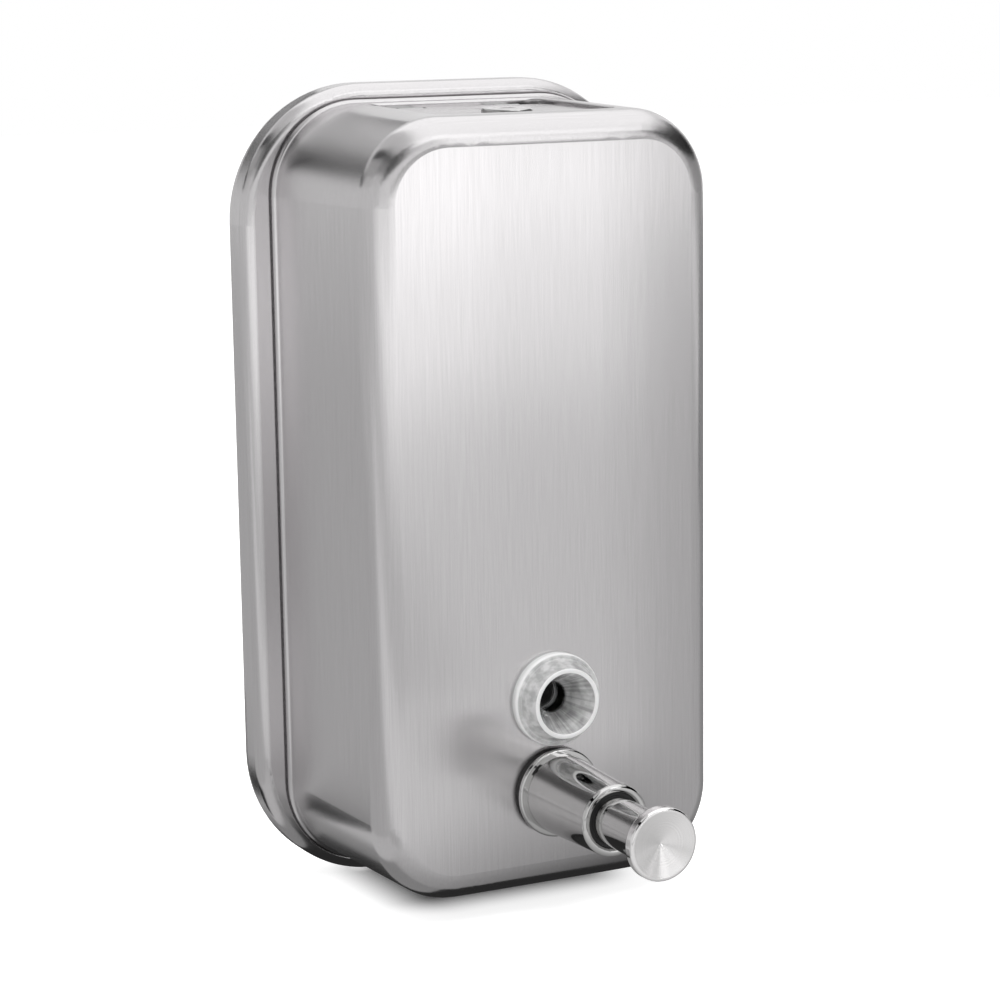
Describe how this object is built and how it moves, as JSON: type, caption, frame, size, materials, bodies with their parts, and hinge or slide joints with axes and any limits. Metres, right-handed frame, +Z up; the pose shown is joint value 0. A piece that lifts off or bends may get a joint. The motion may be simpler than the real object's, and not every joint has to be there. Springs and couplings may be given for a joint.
{
  "type": "wall mounted soap dispenser",
  "caption": "Upright stainless steel wall tank for liquid soap, with a push pump low on its front, a round sight glass above it and a locking filler lid in its top.",
  "frame": {"origin": "on the wall plane, at the centre of the wall plate's four screw holes", "axes": "+Z up, +Y into the wall, so the front faces -Y, and +X to the right as seen from the front"},
  "size_m": [0.116, 0.126, 0.21],
  "materials": {
    "brushed_stainless": "fine vertical brushing on drawn stainless sheet",
    "plain_stainless": "plain mill-finish stainless",
    "chrome": "polished chrome plate",
    "clear_acrylic": "clear moulded acrylic",
    "black_rubber": "matt black rubber",
    "pale_silicone": "translucent pale silicone rubber",
    "black_acetal": "satin black acetal",
    "white_polypropylene": "natural white moulded polypropylene"
  },
  "bodies": {
    "bracket": {"wall_plate": "plain_stainless"},
    "tank": {"back_shell": "brushed_stainless", "front_shell": "brushed_stainless", "hanger_strap": "plain_stainless", "hinge_leaf": "plain_stainless", "hinge_pin": "plain_stainless", "sight_boss": "plain_stainless", "sight_gasket": "pale_silicone", "sight_glass": "clear_acrylic", "pump_boss": "plain_stainless", "pump_gasket": "black_rubber", "pump_cone": "chrome", "guide_bush": "black_acetal", "rod_seal": "black_rubber", "pump_barrel": "white_polypropylene", "inlet_cap": "white_polypropylene", "ball_cage": "white_polypropylene", "return_spring": "plain_stainless"},
    "plunger": {"plunger_rod": "chrome", "push_button": "chrome", "piston": "white_polypropylene", "piston_seal": "black_rubber"},
    "outlet_valve": {"outlet_ball": "plain_stainless"},
    "inlet_valve": {"inlet_ball": "plain_stainless"},
    "lid": {"filler_lid": "brushed_stainless", "lid_seal": "black_rubber", "lock_body": "chrome", "lock_nut": "plain_stainless"},
    "lock": {"lock_plug": "chrome", "lock_cam": "plain_stainless", "cam_screw": "plain_stainless"}
  },
  "joints": [
    {"name": "lift_off", "type": "slide", "parent": "bracket", "child": "tank", "axis": [0, 0, 1], "range_m": [0, 0.016]},
    {"name": "pump_push", "type": "slide", "parent": "tank", "child": "plunger", "axis": [0, 1, 0], "range_m": [0, 0.015], "stiffness_N_per_m": 300, "springref_m": -0.01, "deforming": ["return_spring"]},
    {"name": "outlet_ball_lift", "type": "slide", "parent": "plunger", "child": "outlet_valve", "axis": [0, -1, 0], "range_m": [0, 0.0015]},
    {"name": "inlet_ball_lift", "type": "slide", "parent": "tank", "child": "inlet_valve", "axis": [0, -1, 0], "range_m": [0, 0.0015]},
    {"name": "lid_hinge", "type": "hinge", "parent": "tank", "child": "lid", "pos_m": [0, -0.02242, 0.06624], "axis": [-1, 0, 0], "range_deg": [0, 100]},
    {"name": "lock_turn", "type": "hinge", "parent": "lid", "child": "lock", "pos_m": [0, -0.04953, 0.0613], "axis": [0, 0.0321, -0.9995], "range_deg": [0, 90]}
  ]
}
